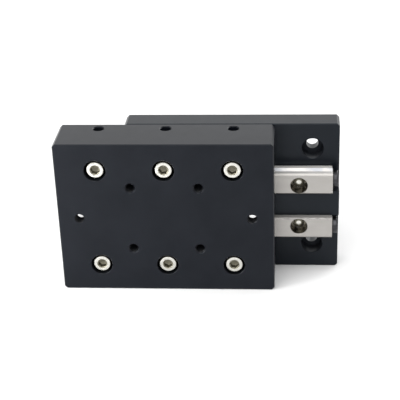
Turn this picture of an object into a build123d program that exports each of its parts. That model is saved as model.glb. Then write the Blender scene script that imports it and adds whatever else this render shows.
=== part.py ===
"""Crossed roller slide: a table that runs on two caged roller trains over a base.

The slide stands on its long side. X is the travel, Y runs from the table's
mounting face (negative) to the base's mounting face (zero), and Z is up.
The origin is the centre of the base's mounting face. All sizes are in millimetres.
The table stands at the left end of its travel.
"""

from build123d import *
from math import radians, sqrt, tan
import os

# The two blocks
block_length = 80.0
block_width = 60.0
slide_thickness = 28.0
base_thickness = 9.2
# Air between the table's skirts and the base's face
running_gap = 0.25
corner_chamfer = 1.0
edge_chamfer = 0.3
# Full stroke of the table, limit to limit
travel = 48.0

# The four rails, all alike
rail_length = 75.0
# From a rail's back to its groove face
rail_width = 8.3
# From a rail's seat to its far side
rail_height = 8.0
# Between two rails that face each other
rail_gap = 1.4
rail_chamfer = 0.55
rail_end_chamfer = 0.2
rail_hole_pitch = 25.0
rail_hole_count = 3
# From a rail's back to its row of holes
rail_hole_inset = 3.5
rail_bore_diameter = 6.2
rail_bore_depth = 3.1
groove_relief_width = 0.7
groove_relief_depth = 0.3

# The ridge of the base, which carries the two inner rails back to back
ridge_width = 10.0
ridge_height = 5.5
# Raised pad of the base that seats the inner rails, so that the outer ones run clear of it
rail_pad = 0.2
# Air between the table's ceiling and the inner rails
ceiling_gap = 0.4
# Small corner grooves that let a rail seat square
undercut = 0.4

# Rollers and their cages
roller_diameter = 3.0
roller_length = 2.9
roller_pitch = 5.0
roller_chamfer = 0.15
# Air between a roller and the groove it runs in
roller_clearance = 0.02
cage_thickness = 0.9
cage_side_gap = 0.6
# Least distance from the last roller's centre to the cage's end
cage_end_land = 2.5
# Air around a roller in its pocket
pocket_clearance = 0.08
# What the cage stays short of its stop at the end of the stroke
cage_stop_gap = 0.2

# Cap screws that hold the rails
screw_diameter = 4.0
screw_length = 10.0
screw_head_diameter = 7.0
screw_head_height = 4.0
screw_head_chamfer = 0.3
socket_size = 3.0
socket_depth = 2.2
screw_tip_chamfer = 0.8
screw_hole_diameter = 4.5
head_bore_diameter = 8.0
table_head_recess = 0.75
base_head_recess = 0.4
# Air between a screw and its thread
thread_clearance = 0.02

# Preload screws in the table's upper skirt
preload_screw_length = 4.0
preload_socket_size = 2.0
preload_socket_depth = 1.6
preload_cup_depth = 0.5
preload_screw_chamfer = 0.5

# Stop screws in the ends of the rails
stop_thread_diameter = 2.5
stop_thread_length = 5.0
stop_head_diameter = 6.4
stop_head_height = 1.9
stop_head_chamfer = 0.35
# Shift of a stop screw from the middle of its rail towards the groove
stop_head_shift = 0.5
stop_slot_width = 0.8
stop_slot_depth = 0.7

# Stop pins in the table and the stop block that they meet
stop_pin_diameter = 3.5
stop_pin_spacing = 64.0
stop_pin_recess = 4.2
stop_pin_chamfer = 0.3
# Air below the pins, above the block and beside it
stop_clearance = 0.3
# What the pins stay short of the block at the end of the stroke
stop_gap = 0.15
stop_block_seat = 1.5
stop_block_chamfer = 0.3
stop_screw_diameter = 3.0
stop_screw_length = 8.0
stop_screw_head_diameter = 5.6
stop_screw_socket_size = 2.0
stop_screw_socket_depth = 1.0

# Tapped holes in the table's mounting face
tap_diameter = 3.3
tap_mouth_diameter = 4.2
tap_depth = 8.0
tap_spacing = 25.0
# Point angle of the drill that leaves the bottom of a blind hole
drill_point_angle = 118.0

# Counterbored mounting holes of the base
mount_spacing_x = 60.0
mount_spacing_z = 40.0
mount_hole_diameter = 4.5
mount_head_bore_diameter = 8.0
mount_head_bore_depth = 5.35

# Small chamfer at the mouth of each counterbore and pin hole
mouth_chamfer = 0.2

# Places along Y that follow from the sizes above
base_back = 0.0
base_face = base_back - base_thickness
skirt_end = base_face - running_gap
table_front = base_back - slide_thickness
rail_seat = base_face - rail_pad
rail_front = rail_seat - rail_height
rail_middle = rail_seat - rail_height / 2
ridge_face = base_face - ridge_height
ceiling = rail_front - ceiling_gap

# Heights above or below the middle plane that follow from them
ridge_half = ridge_width / 2
inner_groove_face = ridge_half + rail_width
track_middle = inner_groove_face + rail_gap / 2
outer_groove_face = inner_groove_face + rail_gap
outer_back = outer_groove_face + rail_width
inner_hole_row = ridge_half + rail_hole_inset
outer_hole_row = outer_back - rail_hole_inset

# Places along X: the table and its cages at the left end of the stroke
table_x = -travel / 2
cage_x = -travel / 4

# A threaded hole is as wide as its screw and the clearance
thread_hole_radius = screw_diameter / 2 + thread_clearance
cage_length = rail_length - travel / 2 - 2 * cage_stop_gap
roller_count = 1 + int((cage_length - 2 * cage_end_land) / roller_pitch)

os.makedirs("parts", exist_ok=True)


def keep(piece, label):
    """Name a finished piece and write it to its own file."""
    piece.part.label = label
    export_step(piece.part, f"parts/{label}.step")


def facing(x, y, z, direction):
    """Plane at a point, looking along Y towards the front (-1) or the back (1), with Z up."""
    return Plane(origin=(x, y, z), x_dir=(-direction, 0, 0), z_dir=(0, direction, 0))


def along_x(x, y, z, direction):
    """Plane at a point, looking along X to the left (-1) or the right (1), with Z up."""
    return Plane(origin=(x, y, z), x_dir=(0, direction, 0), z_dir=(direction, 0, 0))


def pitch_places(count, pitch):
    """Positions of a centred row."""
    return [(index - (count - 1) / 2) * pitch for index in range(count)]


def open_mouth(radius):
    """Chamfer the mouth of a round hole, at each location of the builder in use."""
    Cone(
        bottom_radius=radius,
        top_radius=radius + mouth_chamfer,
        height=mouth_chamfer,
        align=(Align.CENTER, Align.CENTER, Align.MAX),
        mode=Mode.SUBTRACT,
    )


# Base: a plate with a raised pad, a central ridge and the corner grooves at the ridge's foot
with BuildPart() as base_block:
    with BuildSketch(Plane.YZ.offset(-block_length / 2)):
        with BuildLine():
            Polyline(
                (base_back, 0),
                (base_back, block_width / 2),
                (base_face, block_width / 2),
                (base_face, track_middle),
                (rail_seat, track_middle),
                (rail_seat, ridge_half + undercut),
                (rail_seat + undercut, ridge_half + undercut),
                (rail_seat + undercut, ridge_half),
                (ridge_face, ridge_half),
                (ridge_face, 0),
                close=True,
            )
        make_face()
        mirror(about=Plane.XZ)
    extrude(amount=block_length)
    outer_corners = base_block.edges().filter_by(Axis.Y).group_by(Axis.Z)
    chamfer(outer_corners[0] + outer_corners[-1], length=corner_chamfer)
    back_outline = base_block.faces().sort_by(Axis.Y)[-1].outer_wire().edges()
    chamfer(back_outline, length=edge_chamfer)
    long_edges = base_block.edges().filter_by(Axis.X).filter_by_position(
        Axis.Y, base_face - edge_chamfer / 2, base_face + edge_chamfer / 2)
    chamfer(long_edges.group_by(Axis.Z)[0] + long_edges.group_by(Axis.Z)[-1], length=edge_chamfer)
    # Mounting holes, with their heads sunk in the rail side
    with Locations(facing(0, base_face, 0, -1)):
        with GridLocations(mount_spacing_x, mount_spacing_z, 2, 2):
            CounterBoreHole(
                radius=mount_hole_diameter / 2,
                counter_bore_radius=mount_head_bore_diameter / 2,
                counter_bore_depth=mount_head_bore_depth,
                depth=base_thickness,
            )
            open_mouth(mount_head_bore_diameter / 2)
    # Holes for the screws of the inner rails, sunk in the back
    with Locations(facing(0, base_back, 0, 1)):
        with GridLocations(rail_hole_pitch, 2 * inner_hole_row, rail_hole_count, 2):
            CounterBoreHole(
                radius=screw_hole_diameter / 2,
                counter_bore_radius=head_bore_diameter / 2,
                counter_bore_depth=base_head_recess + screw_head_height,
                depth=base_back - rail_seat,
            )
            open_mouth(head_bore_diameter / 2)
    # Slot across the ridge for the stop block, with the hole of its screw
    stop_half_length = stop_pin_spacing / 2 - travel / 2 - stop_pin_diameter / 2 - stop_gap
    slot_floor = ridge_face + stop_block_seat
    with BuildSketch(facing(0, ridge_face, 0, -1)):
        Rectangle(2 * stop_half_length, ridge_width)
    extrude(amount=-stop_block_seat, mode=Mode.SUBTRACT)
    block_top = ceiling + stop_clearance
    stop_screw_bottom = block_top + stop_screw_length
    with Locations(facing(0, slot_floor, 0, -1)):
        Hole(
            radius=stop_screw_diameter / 2 + thread_clearance,
            depth=stop_screw_bottom + stop_clearance - slot_floor,
        )
keep(base_block, "base_block")

# Table: a block with a deep channel, a seat for each outer rail and a skirt on each side
with BuildPart() as table_block:
    with BuildSketch(Plane.YZ.offset(table_x - block_length / 2)):
        with BuildLine():
            Polyline(
                (table_front, 0),
                (table_front, block_width / 2),
                (skirt_end, block_width / 2),
                (skirt_end, outer_back),
                (rail_front - undercut, outer_back),
                (rail_front - undercut, outer_back - undercut),
                (rail_front, outer_back - undercut),
                (rail_front, track_middle),
                (ceiling, track_middle),
                (ceiling, 0),
                close=True,
            )
        make_face()
        mirror(about=Plane.XZ)
    extrude(amount=block_length)
    outer_corners = table_block.edges().filter_by(Axis.Y).group_by(Axis.Z)
    chamfer(outer_corners[0] + outer_corners[-1], length=corner_chamfer)
    front_outline = table_block.faces().sort_by(Axis.Y)[0].outer_wire().edges()
    chamfer(front_outline, length=edge_chamfer)
    long_edges = table_block.edges().filter_by(Axis.X).filter_by_position(
        Axis.Y, skirt_end - edge_chamfer / 2, skirt_end + edge_chamfer / 2)
    chamfer(long_edges.group_by(Axis.Z)[0] + long_edges.group_by(Axis.Z)[-1], length=edge_chamfer)
    # Holes for the screws of the outer rails, sunk in the front
    with Locations(facing(table_x, table_front, 0, -1)):
        with GridLocations(rail_hole_pitch, 2 * outer_hole_row, rail_hole_count, 2):
            CounterBoreHole(
                radius=screw_hole_diameter / 2,
                counter_bore_radius=head_bore_diameter / 2,
                counter_bore_depth=table_head_recess + screw_head_height,
                depth=rail_front - table_front,
            )
            open_mouth(head_bore_diameter / 2)
        # Tapped mounting holes with a countersunk mouth and a drilled bottom
        with GridLocations(tap_spacing, tap_spacing, 2, 2):
            CounterSinkHole(
                radius=tap_diameter / 2,
                counter_sink_radius=tap_mouth_diameter / 2,
                depth=tap_depth,
                counter_sink_angle=90,
            )
        # Holes of the two stop pins
        with GridLocations(stop_pin_spacing, 0, 2, 1):
            Hole(radius=stop_pin_diameter / 2 + thread_clearance, depth=ceiling - table_front)
            open_mouth(stop_pin_diameter / 2 + thread_clearance)
    # Drilled bottoms of the tapped holes
    tap_point_height = tap_diameter / 2 / tan(radians(drill_point_angle / 2))
    with Locations(facing(table_x, table_front + tap_depth, 0, -1)):
        with GridLocations(tap_spacing, tap_spacing, 2, 2):
            Cone(
                bottom_radius=0,
                top_radius=tap_diameter / 2,
                height=tap_point_height,
                align=(Align.CENTER, Align.CENTER, Align.MAX),
                mode=Mode.SUBTRACT,
            )
    # Tapped holes of the preload screws, through the upper skirt to the outer rail's back
    with Locations(Plane.XY.offset(block_width / 2)):
        for place in pitch_places(rail_hole_count, rail_hole_pitch):
            with Locations((table_x + place, rail_middle)):
                CounterSinkHole(
                    radius=thread_hole_radius,
                    counter_sink_radius=thread_hole_radius + edge_chamfer,
                    depth=block_width / 2 - outer_back,
                    counter_sink_angle=90,
                )
keep(table_block, "table_block")


def make_rail(label, centre_x, back, side, seat, away):
    """Build one rail.

    back is the height of the rail's back, side is 1 or -1 where the groove faces up or
    down, seat is the place of its seat along Y, and away is the direction from the seat.
    """
    groove = track_middle - inner_groove_face
    reach = (roller_diameter / 2 + roller_clearance) * sqrt(2)
    half_mouth = reach - groove
    half_relief = groove_relief_width / 2
    relief_from = half_mouth - half_relief
    middle = seat + away * rail_height / 2
    face = back + side * rail_width
    far = seat + away * rail_height
    with BuildPart() as rail:
        with BuildSketch(Plane.YZ.offset(centre_x - rail_length / 2)):
            with BuildLine():
                Polyline(
                    (seat, back + side * rail_chamfer),
                    (seat, face - side * rail_chamfer),
                    (seat + away * rail_chamfer, face),
                    (middle - away * half_mouth, face),
                    (middle - away * half_relief, face - side * relief_from),
                    (middle - away * half_relief, face - side * (relief_from + groove_relief_depth)),
                    (middle + away * half_relief, face - side * (relief_from + groove_relief_depth)),
                    (middle + away * half_relief, face - side * relief_from),
                    (middle + away * half_mouth, face),
                    (far - away * rail_chamfer, face),
                    (far, face - side * rail_chamfer),
                    (far, back + side * rail_chamfer),
                    (far - away * rail_chamfer, back),
                    (seat + away * rail_chamfer, back),
                    close=True,
                )
            make_face()
        extrude(amount=rail_length)
        ends = rail.faces().filter_by(Axis.X)
        outline = ends.edges().filter_by(Axis.Z) + ends.edges().filter_by(Axis.Y)
        outline = outline.filter_by(lambda edge: edge.length > rail_gap)
        chamfer(outline, length=rail_end_chamfer)
        # Tapped holes that open into a counterbore on the side away from the seat
        with Locations(facing(centre_x, far, back + side * rail_hole_inset, away)):
            with GridLocations(rail_hole_pitch, 0, rail_hole_count, 1):
                CounterBoreHole(
                    radius=thread_hole_radius,
                    counter_bore_radius=rail_bore_diameter / 2,
                    counter_bore_depth=rail_bore_depth,
                    depth=rail_height,
                )
                open_mouth(rail_bore_diameter / 2)
        # Tapped hole in each end for the stop screw
        stop_height = back + side * (rail_width / 2 + stop_head_shift)
        for end in (-1, 1):
            with Locations(along_x(centre_x + end * rail_length / 2, middle, stop_height, end)):
                Hole(
                    radius=stop_thread_diameter / 2 + thread_clearance,
                    depth=stop_thread_length + stop_clearance,
                )
    keep(rail, label)


def make_stop_screw(label, x, y, z, direction):
    """Build one slotted stop screw, seated on the end face of a rail at the given point."""
    seat = along_x(x, y, z, direction)
    with BuildPart() as screw:
        with BuildSketch(seat):
            Circle(stop_head_diameter / 2)
        extrude(amount=stop_head_height)
        chamfer(screw.edges().filter_by(GeomType.CIRCLE), length=stop_head_chamfer)
        with BuildSketch(seat):
            Circle(stop_thread_diameter / 2)
        extrude(amount=-stop_thread_length)
        with BuildSketch(seat.offset(stop_head_height)):
            Rectangle(stop_slot_width, 2 * stop_head_diameter)
        extrude(amount=-stop_slot_depth, mode=Mode.SUBTRACT)
    keep(screw, label)


def make_cap_screw(label, seat, turn):
    """Build one cap screw with a hexagon socket; seat is the plane under its head."""
    with BuildPart() as screw:
        with BuildSketch(seat):
            Circle(screw_head_diameter / 2)
        extrude(amount=screw_head_height)
        out = Axis(seat.origin, seat.z_dir)
        chamfer(screw.edges().filter_by(GeomType.CIRCLE).sort_by(out)[-1], length=screw_head_chamfer)
        with BuildSketch(seat.offset(screw_head_height)):
            RegularPolygon(radius=socket_size / 2, side_count=6, major_radius=False, rotation=turn)
        extrude(amount=-socket_depth, mode=Mode.SUBTRACT)
        with BuildSketch(seat):
            Circle(screw_diameter / 2)
        extrude(amount=-screw_length)
        tip = screw.faces().sort_by(out)[0]
        chamfer(tip.edges(), length=screw_tip_chamfer)
    keep(screw, label)


# Each train is built once above and once below the middle plane
for train, side in (("upper", 1), ("lower", -1)):
    make_rail(f"base_rail_{train}", 0, side * ridge_half, side, rail_seat, -1)
    make_rail(f"table_rail_{train}", table_x, side * outer_back, -side, rail_front, 1)

    for end_name, end in (("left", -1), ("right", 1)):
        rail_end = end * rail_length / 2
        base_stop_z = side * (ridge_half + rail_width / 2 + stop_head_shift)
        table_stop_z = side * (outer_back - rail_width / 2 - stop_head_shift)
        make_stop_screw(f"stop_screw_base_{train}_{end_name}", rail_end, rail_middle, base_stop_z, end)
        make_stop_screw(f"stop_screw_table_{train}_{end_name}", table_x + rail_end, rail_middle,
                        table_stop_z, end)

    for number, place in enumerate(pitch_places(rail_hole_count, rail_hole_pitch), start=1):
        # The sockets end at different angles, as tightened screws do
        turn = 17 * number + 11 * side
        table_seat = table_front + table_head_recess + screw_head_height
        make_cap_screw(f"table_rail_screw_{train}_{number}",
                       facing(table_x + place, table_seat, side * outer_hole_row, -1), turn)
        base_seat = base_back - base_head_recess - screw_head_height
        make_cap_screw(f"base_rail_screw_{train}_{number}",
                       facing(place, base_seat, side * inner_hole_row, 1), turn)

    # Cage: a thin strip between the rails with a tilted pocket for each roller
    with BuildPart() as cage:
        with BuildSketch(Plane.XY.offset(side * track_middle - cage_thickness / 2)):
            with Locations((cage_x, rail_middle)):
                Rectangle(cage_length, rail_height - 2 * cage_side_gap)
        extrude(amount=cage_thickness)
        chamfer(cage.edges().filter_by(Axis.Z), length=corner_chamfer)
        pocket_width = roller_diameter + 2 * pocket_clearance
        for number, place in enumerate(pitch_places(roller_count, roller_pitch)):
            tilt = 45 if number % 2 == 0 else -45
            with BuildSketch(Plane.YZ.offset(cage_x + place - pocket_width / 2)):
                with Locations((rail_middle, side * track_middle)):
                    Rectangle(roller_length + 2 * pocket_clearance, pocket_width, rotation=tilt)
            extrude(amount=pocket_width, mode=Mode.SUBTRACT)
    keep(cage, f"cage_{train}")

    # Rollers: short cylinders, each tilted the other way from its neighbours
    for number, place in enumerate(pitch_places(roller_count, roller_pitch)):
        lean = 1 if number % 2 == 0 else -1
        axis_plane = Plane(origin=(cage_x + place, rail_middle, side * track_middle),
                           x_dir=(1, 0, 0), z_dir=(0, 1, lean))
        with BuildPart() as roller:
            with BuildSketch(axis_plane.offset(-roller_length / 2)):
                Circle(roller_diameter / 2)
            extrude(amount=roller_length)
            chamfer(roller.edges().filter_by(GeomType.CIRCLE), length=roller_chamfer)
        keep(roller, f"roller_{train}_{number + 1:02d}")

# Preload screws: set screws that press the upper outer rail towards the rollers
for number, place in enumerate(pitch_places(rail_hole_count, rail_hole_pitch), start=1):
    point = Plane.XY.offset(outer_back)
    with BuildPart() as set_screw:
        with BuildSketch(point):
            with Locations((table_x + place, rail_middle)):
                Circle(screw_diameter / 2)
        extrude(amount=preload_screw_length)
        chamfer(set_screw.edges().filter_by(GeomType.CIRCLE), length=preload_screw_chamfer)
        with BuildSketch(point.offset(preload_screw_length)):
            with Locations((table_x + place, rail_middle)):
                RegularPolygon(radius=preload_socket_size / 2, side_count=6, major_radius=False,
                               rotation=23 * number)
        extrude(amount=-preload_socket_depth, mode=Mode.SUBTRACT)
        # Cup point
        with Locations((table_x + place, rail_middle, outer_back)):
            Cone(
                bottom_radius=preload_socket_size / 2,
                top_radius=0,
                height=preload_cup_depth,
                align=(Align.CENTER, Align.CENTER, Align.MIN),
                mode=Mode.SUBTRACT,
            )
    keep(set_screw, f"preload_screw_{number}")

# Stop pins: pressed into the table, their tails below its ceiling
for end_name, end in (("left", -1), ("right", 1)):
    pin_x = table_x + end * stop_pin_spacing / 2
    pin_front = table_front + stop_pin_recess
    pin_tail = ridge_face - stop_clearance
    with BuildPart() as stop_pin:
        with BuildSketch(facing(pin_x, pin_front, 0, 1)):
            Circle(stop_pin_diameter / 2)
        extrude(amount=pin_tail - pin_front)
        chamfer(stop_pin.edges().filter_by(GeomType.CIRCLE), length=stop_pin_chamfer)
    keep(stop_pin, f"stop_pin_{end_name}")

# Stop block: let into the ridge, with a countersunk screw
with BuildPart() as stop_block:
    with BuildSketch(facing(0, slot_floor, 0, -1)):
        Rectangle(2 * stop_half_length, ridge_width - 2 * stop_clearance)
    extrude(amount=slot_floor - block_top)
    top_outline = stop_block.faces().sort_by(Axis.Y)[0].edges()
    chamfer(top_outline, length=stop_block_chamfer)
    with Locations(facing(0, block_top, 0, -1)):
        CounterSinkHole(
            radius=stop_screw_diameter / 2 + thread_clearance,
            counter_sink_radius=stop_screw_head_diameter / 2 + thread_clearance,
            depth=slot_floor - block_top,
            counter_sink_angle=90,
        )
keep(stop_block, "stop_block")

# Its screw: the head's cone is drawn with the shank as one turned profile
with BuildPart() as stop_block_screw:
    head_radius = stop_screw_head_diameter / 2
    shank_radius = stop_screw_diameter / 2
    cone_end = block_top + head_radius - shank_radius
    with BuildSketch(Plane.XY):
        with BuildLine():
            Polyline(
                (0, block_top),
                (head_radius, block_top),
                (shank_radius, cone_end),
                (shank_radius, stop_screw_bottom),
                (0, stop_screw_bottom),
                close=True,
            )
        make_face()
    revolve(axis=Axis.Y)
    with BuildSketch(facing(0, block_top, 0, -1)):
        RegularPolygon(radius=stop_screw_socket_size / 2, side_count=6, major_radius=False)
    extrude(amount=-stop_screw_socket_depth, mode=Mode.SUBTRACT)
keep(stop_block_screw, "stop_block_screw")
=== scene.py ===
"""Crossed roller slide, dressed for a studio picture.

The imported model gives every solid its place. Here the blocks, rails, cages, rollers and
stops get their finishes, and finer fasteners with rolled threads, sockets and slots take
the places of the plain ones. Lengths are in metres, in the frame of the model: X is the
travel, Y runs from the front of the table to the back of the base, and Z is up.
"""

import logging
import math
from collections.abc import Callable, Mapping, Sequence
from dataclasses import dataclass, replace
from enum import Enum, IntEnum
from fnmatch import fnmatchcase

import bmesh
import bpy
from mathutils import Matrix, Vector


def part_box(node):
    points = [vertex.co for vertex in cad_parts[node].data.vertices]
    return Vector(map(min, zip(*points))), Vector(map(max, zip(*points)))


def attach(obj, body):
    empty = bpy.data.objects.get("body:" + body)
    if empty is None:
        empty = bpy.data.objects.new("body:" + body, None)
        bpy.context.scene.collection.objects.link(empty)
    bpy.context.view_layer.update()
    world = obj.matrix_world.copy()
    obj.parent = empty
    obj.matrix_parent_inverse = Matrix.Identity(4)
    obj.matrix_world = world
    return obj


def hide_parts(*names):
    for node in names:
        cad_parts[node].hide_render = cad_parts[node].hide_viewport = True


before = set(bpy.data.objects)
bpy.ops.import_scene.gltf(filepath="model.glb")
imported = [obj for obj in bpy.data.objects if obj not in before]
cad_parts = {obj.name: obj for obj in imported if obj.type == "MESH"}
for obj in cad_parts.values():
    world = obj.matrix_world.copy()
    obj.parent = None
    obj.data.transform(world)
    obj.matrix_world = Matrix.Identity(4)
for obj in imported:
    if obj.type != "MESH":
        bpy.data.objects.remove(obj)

log = logging.getLogger("crossed_roller_slide")

MM = 0.001
TURNED_MAP = "turned"

Socket = bpy.types.NodeSocket
Span = tuple[float, float]
Colour = tuple[float, float, float]
Point = tuple[float, float, float]
Outline = Sequence[Span]
Feed = Socket | float | tuple[float, ...]


class Body(Enum):
    """The bodies that fasteners ride on."""

    BASE = "base"
    TABLE = "table"


class Facing(Enum):
    """Which way the head of a fastener looks."""

    FRONT = (0.0, -1.0, 0.0)
    BACK = (0.0, 1.0, 0.0)
    LEFT = (-1.0, 0.0, 0.0)
    RIGHT = (1.0, 0.0, 0.0)
    UP = (0.0, 0.0, 1.0)


class Slot(Enum):
    """The record's material slots for the new fasteners; each kind keeps one, but the script never applies
    it.
    """

    CAP_SCREW = "stainless_screw"
    DARK_SCREW = "dark_screw_steel"
    PIN = "bright_pin_steel"


class FaceFinish(IntEnum):
    """Which of a fastener's finishes a face takes."""

    BRIGHT = 0
    # punch-formed finish whose darker colour is painted shade, in the socket and on the tip's cone
    PUNCHED = 1
    # painted shade: black colour on the head's side and the outer part of its edge
    STAINED = 2


@dataclass(frozen=True)
class BoreRow:
    """Holes sunk along Y, in a row above the middle plane and a row as far below it."""

    first: float  # X of one hole
    pitch: float
    height: float  # distance of each row from the middle plane
    radius: float  # just wider than the holes
    mouth: float  # Y of the face that they start in
    depth: float


@dataclass(frozen=True)
class Pattern:
    """Noise, and the part of its values that counts."""

    size: float  # width of the largest features
    stretch: Point = (1.0, 1.0, 1.0)  # factor on each coordinate; a small one draws the noise out
    detail: float = 2.0  # number of finer layers
    roughness: float = 0.5  # weight of the finer layers
    span: Span = (0.3, 0.7)  # values that give the two ends of what is made of it


class NodeBench:
    """Lays out the nodes of a material or of the world."""

    def __init__(self, tree: bpy.types.NodeTree) -> None:
        """Start with an empty tree."""
        self.nodes, self.links = tree.nodes, tree.links
        self.nodes.clear()

    def feed(self, node: bpy.types.Node, inputs: Mapping[str | int, Feed]) -> bpy.types.Node:
        """Feed the inputs of a node: a socket is linked, and a number, vector or colour is set.

        Args:
            node: The node.
            inputs: What goes into each input, by the input's name or number.

        Returns:
            The same node.
        """
        for key, value in inputs.items():
            if isinstance(value, Socket):
                self.links.new(value, node.inputs[key])
            elif node.inputs[key].type == "RGBA":
                node.inputs[key].default_value = (*value, 1.0)
            else:
                node.inputs[key].default_value = value
        return node

    def node(self, kind: str, inputs: Mapping[str | int, Feed] | None = None) -> bpy.types.Node:
        """Add a shader node of a kind, such as Math, and feed its inputs."""
        return self.feed(self.nodes.new(f"ShaderNode{kind}"), inputs or {})

    def compute(self, operation: str, *values: Socket | float) -> Socket:
        """One step of arithmetic.

        Args:
            operation: Name of the operation.
            values: A socket or a number for each input in turn.

        Returns:
            The value socket.
        """
        step = self.node("Math")
        step.operation = operation
        return self.feed(step, dict(enumerate(values))).outputs["Value"]

    def seen_directly(self) -> Socket:
        """Mask that is 1 for the camera and for what shows in metal and glass.

        Returns:
            The mask socket.
        """
        rays = self.node("LightPath").outputs
        mirrored = self.compute("MAXIMUM", rays["Is Camera Ray"], rays["Is Glossy Ray"])
        return self.compute("MAXIMUM", mirrored, rays["Is Transmission Ray"])

    def show(self, output: str, factor: Socket, first: Socket, second: Socket) -> None:
        """Show the first shader where the factor is 0 and the second where it is 1."""
        mix = self.node("MixShader", {"Fac": factor, 1: first, 2: second})
        self.node(output, {"Surface": mix.outputs["Shader"]})


class ShaderBench(NodeBench):
    """Lays out one material around a Principled shader."""

    BORE_EDGE = 0.02 * MM  # softness of a bore's mask, outside its wall
    BORE_LIP = 0.01 * MM  # depth that the mask of a bore starts at
    SLOPE_PRODUCT = 0.45  # Y times Z of a normal is 0.5 on a slope of 45 degrees
    LEVEL_NORMAL = 0.95  # Z of a normal is 1 on a face that looks straight up

    def __init__(self, name: str) -> None:
        """Start a material.

        Args:
            name: Name of the material.
        """
        self.material = bpy.data.materials.new(name)
        self.material.use_nodes = True
        super().__init__(self.material.node_tree)
        self.shader = self.node("BsdfPrincipled")
        self.node("OutputMaterial", {"Surface": self.shader.outputs["BSDF"]})

    def finish(self, inputs: Mapping[str, Feed]) -> bpy.types.Material:
        """Feed the inputs of the shader and hand over the material."""
        self.feed(self.shader, inputs)
        return self.material

    def split(self, vector: Socket) -> tuple[Socket, ...]:
        """Split a vector into its X, Y and Z sockets."""
        return tuple(self.node("SeparateXYZ", {"Vector": vector}).outputs)

    def place(self, stretch: Point = (1.0, 1.0, 1.0)) -> Socket:
        """Object coordinates, each times its factor."""
        place = self.node("TexCoord").outputs["Object"]
        return self.node("Mapping", {"Vector": place, "Scale": stretch}).outputs["Vector"]

    def noise(self, pattern: Pattern) -> Socket:
        """Noise from 0 to 1.

        Args:
            pattern: How the noise looks.

        Returns:
            The value socket.
        """
        texture = self.node("TexNoise", {
            "Vector": self.place(pattern.stretch), "Scale": 1.0 / pattern.size,
            "Detail": pattern.detail, "Roughness": pattern.roughness,
        })
        return texture.outputs["Fac"]

    def between(self, value: Socket, low: float, high: float, start: float = 0.0, end: float = 1.0) -> Socket:
        """Spread a value over a range.

        Args:
            value: The value socket.
            low: Result at start.
            high: Result at end.
            start: Value that gives low.
            end: Value that gives high.

        Returns:
            The new value socket.
        """
        limits = {"From Min": start, "From Max": end, "To Min": low, "To Max": high}
        return self.node("MapRange", {"Value": value, **limits}).outputs["Result"]

    def spread(self, pattern: Pattern, low: float, high: float) -> Socket:
        """Noise that runs from low to high over the pattern's span."""
        return self.between(self.noise(pattern), low, high, *pattern.span)

    def blend(self, factor: Socket, first: Socket | Colour, second: Socket | Colour) -> Socket:
        """Blend two colours, or cover the first with the second where a mask says so.

        Args:
            factor: 0 gives the first colour and 1 the second.
            first: Colour socket or linear colour.
            second: Colour socket or linear colour.

        Returns:
            The colour socket.
        """
        mix = self.node("Mix")
        mix.data_type = "RGBA"
        return self.feed(mix, {"Factor": factor, "A": first, "B": second}).outputs["Result"]

    def relief(self, height: Socket, depth: float, under: Socket | None = None) -> Socket:
        """Turn a height into a bump.

        Args:
            height: Height from 0 to 1.
            depth: What a height of 1 stands for, in metres.
            under: Normal of the coarser relief that this one lies on.

        Returns:
            The normal socket.
        """
        bump = self.node("Bump", {"Strength": 1.0, "Distance": depth, "Height": height})
        if under is not None:
            self.feed(bump, {"Normal": under})
        return bump.outputs["Normal"]

    def hole_place(self, row: BoreRow) -> tuple[Socket, Socket, Socket]:
        """Where a point lies in the nearest hole of a row.

        Args:
            row: Where the holes are.

        Returns:
            Sockets of the offset along X and along Z from the hole's axis, and of the place along Y.
        """
        travel, along, up = self.split(self.place())
        shifted = self.compute("SUBTRACT", travel, row.first)
        across = self.compute("WRAP", shifted, row.pitch / 2, -row.pitch / 2)
        above = self.compute("SUBTRACT", self.compute("ABSOLUTE", up), row.height)
        return across, above, along

    def in_bores(self, row: BoreRow) -> Socket:
        """Mask that is 1 inside the holes of a row, from just below their mouth down to their depth.

        Args:
            row: Where the holes are.

        Returns:
            The mask socket.
        """
        across, above, along = self.hole_place(row)
        squares = (self.compute("MULTIPLY", offset, offset) for offset in (across, above))
        radius = self.compute("SQRT", self.compute("ADD", *squares))
        around = self.between(radius, 1.0, 0.0, row.radius, row.radius + self.BORE_EDGE)
        sunk = self.compute("ABSOLUTE", self.compute("SUBTRACT", along, row.mouth))
        inside = self.compute("MULTIPLY", around, self.compute("LESS_THAN", sunk, row.depth))
        return self.compute("MULTIPLY", inside, self.compute("GREATER_THAN", sunk, self.BORE_LIP))

    def threads(self, row: BoreRow, pitch: float) -> Socket:
        """Height of a thread in a row of tapped holes, and 0 outside them.

        Args:
            row: Where the holes are.
            pitch: Rise of one turn.

        Returns:
            The height socket, from 0 to 1.
        """
        across, above, along = self.hole_place(row)
        turns = self.compute("DIVIDE", self.compute("ARCTAN2", above, across), 2 * math.pi)
        wound = self.compute("ADD", self.compute("DIVIDE", along, pitch), turns)
        ridge = self.compute("MULTIPLY", self.compute("PINGPONG", wound, 0.5), 2.0)
        return self.compute("MULTIPLY", ridge, self.in_bores(row))

    def within(self, offset: Socket, span: Span) -> Socket:
        """Mask that is 1 where the distance from the middle plane is in a range.

        Args:
            offset: Place across the middle plane.
            span: Least and greatest distance.

        Returns:
            The mask socket.
        """
        start, end = span
        distance = self.compute("ABSOLUTE", offset)
        off = self.compute("ABSOLUTE", self.compute("SUBTRACT", distance, (start + end) / 2))
        return self.compute("LESS_THAN", off, (end - start) / 2)

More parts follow.
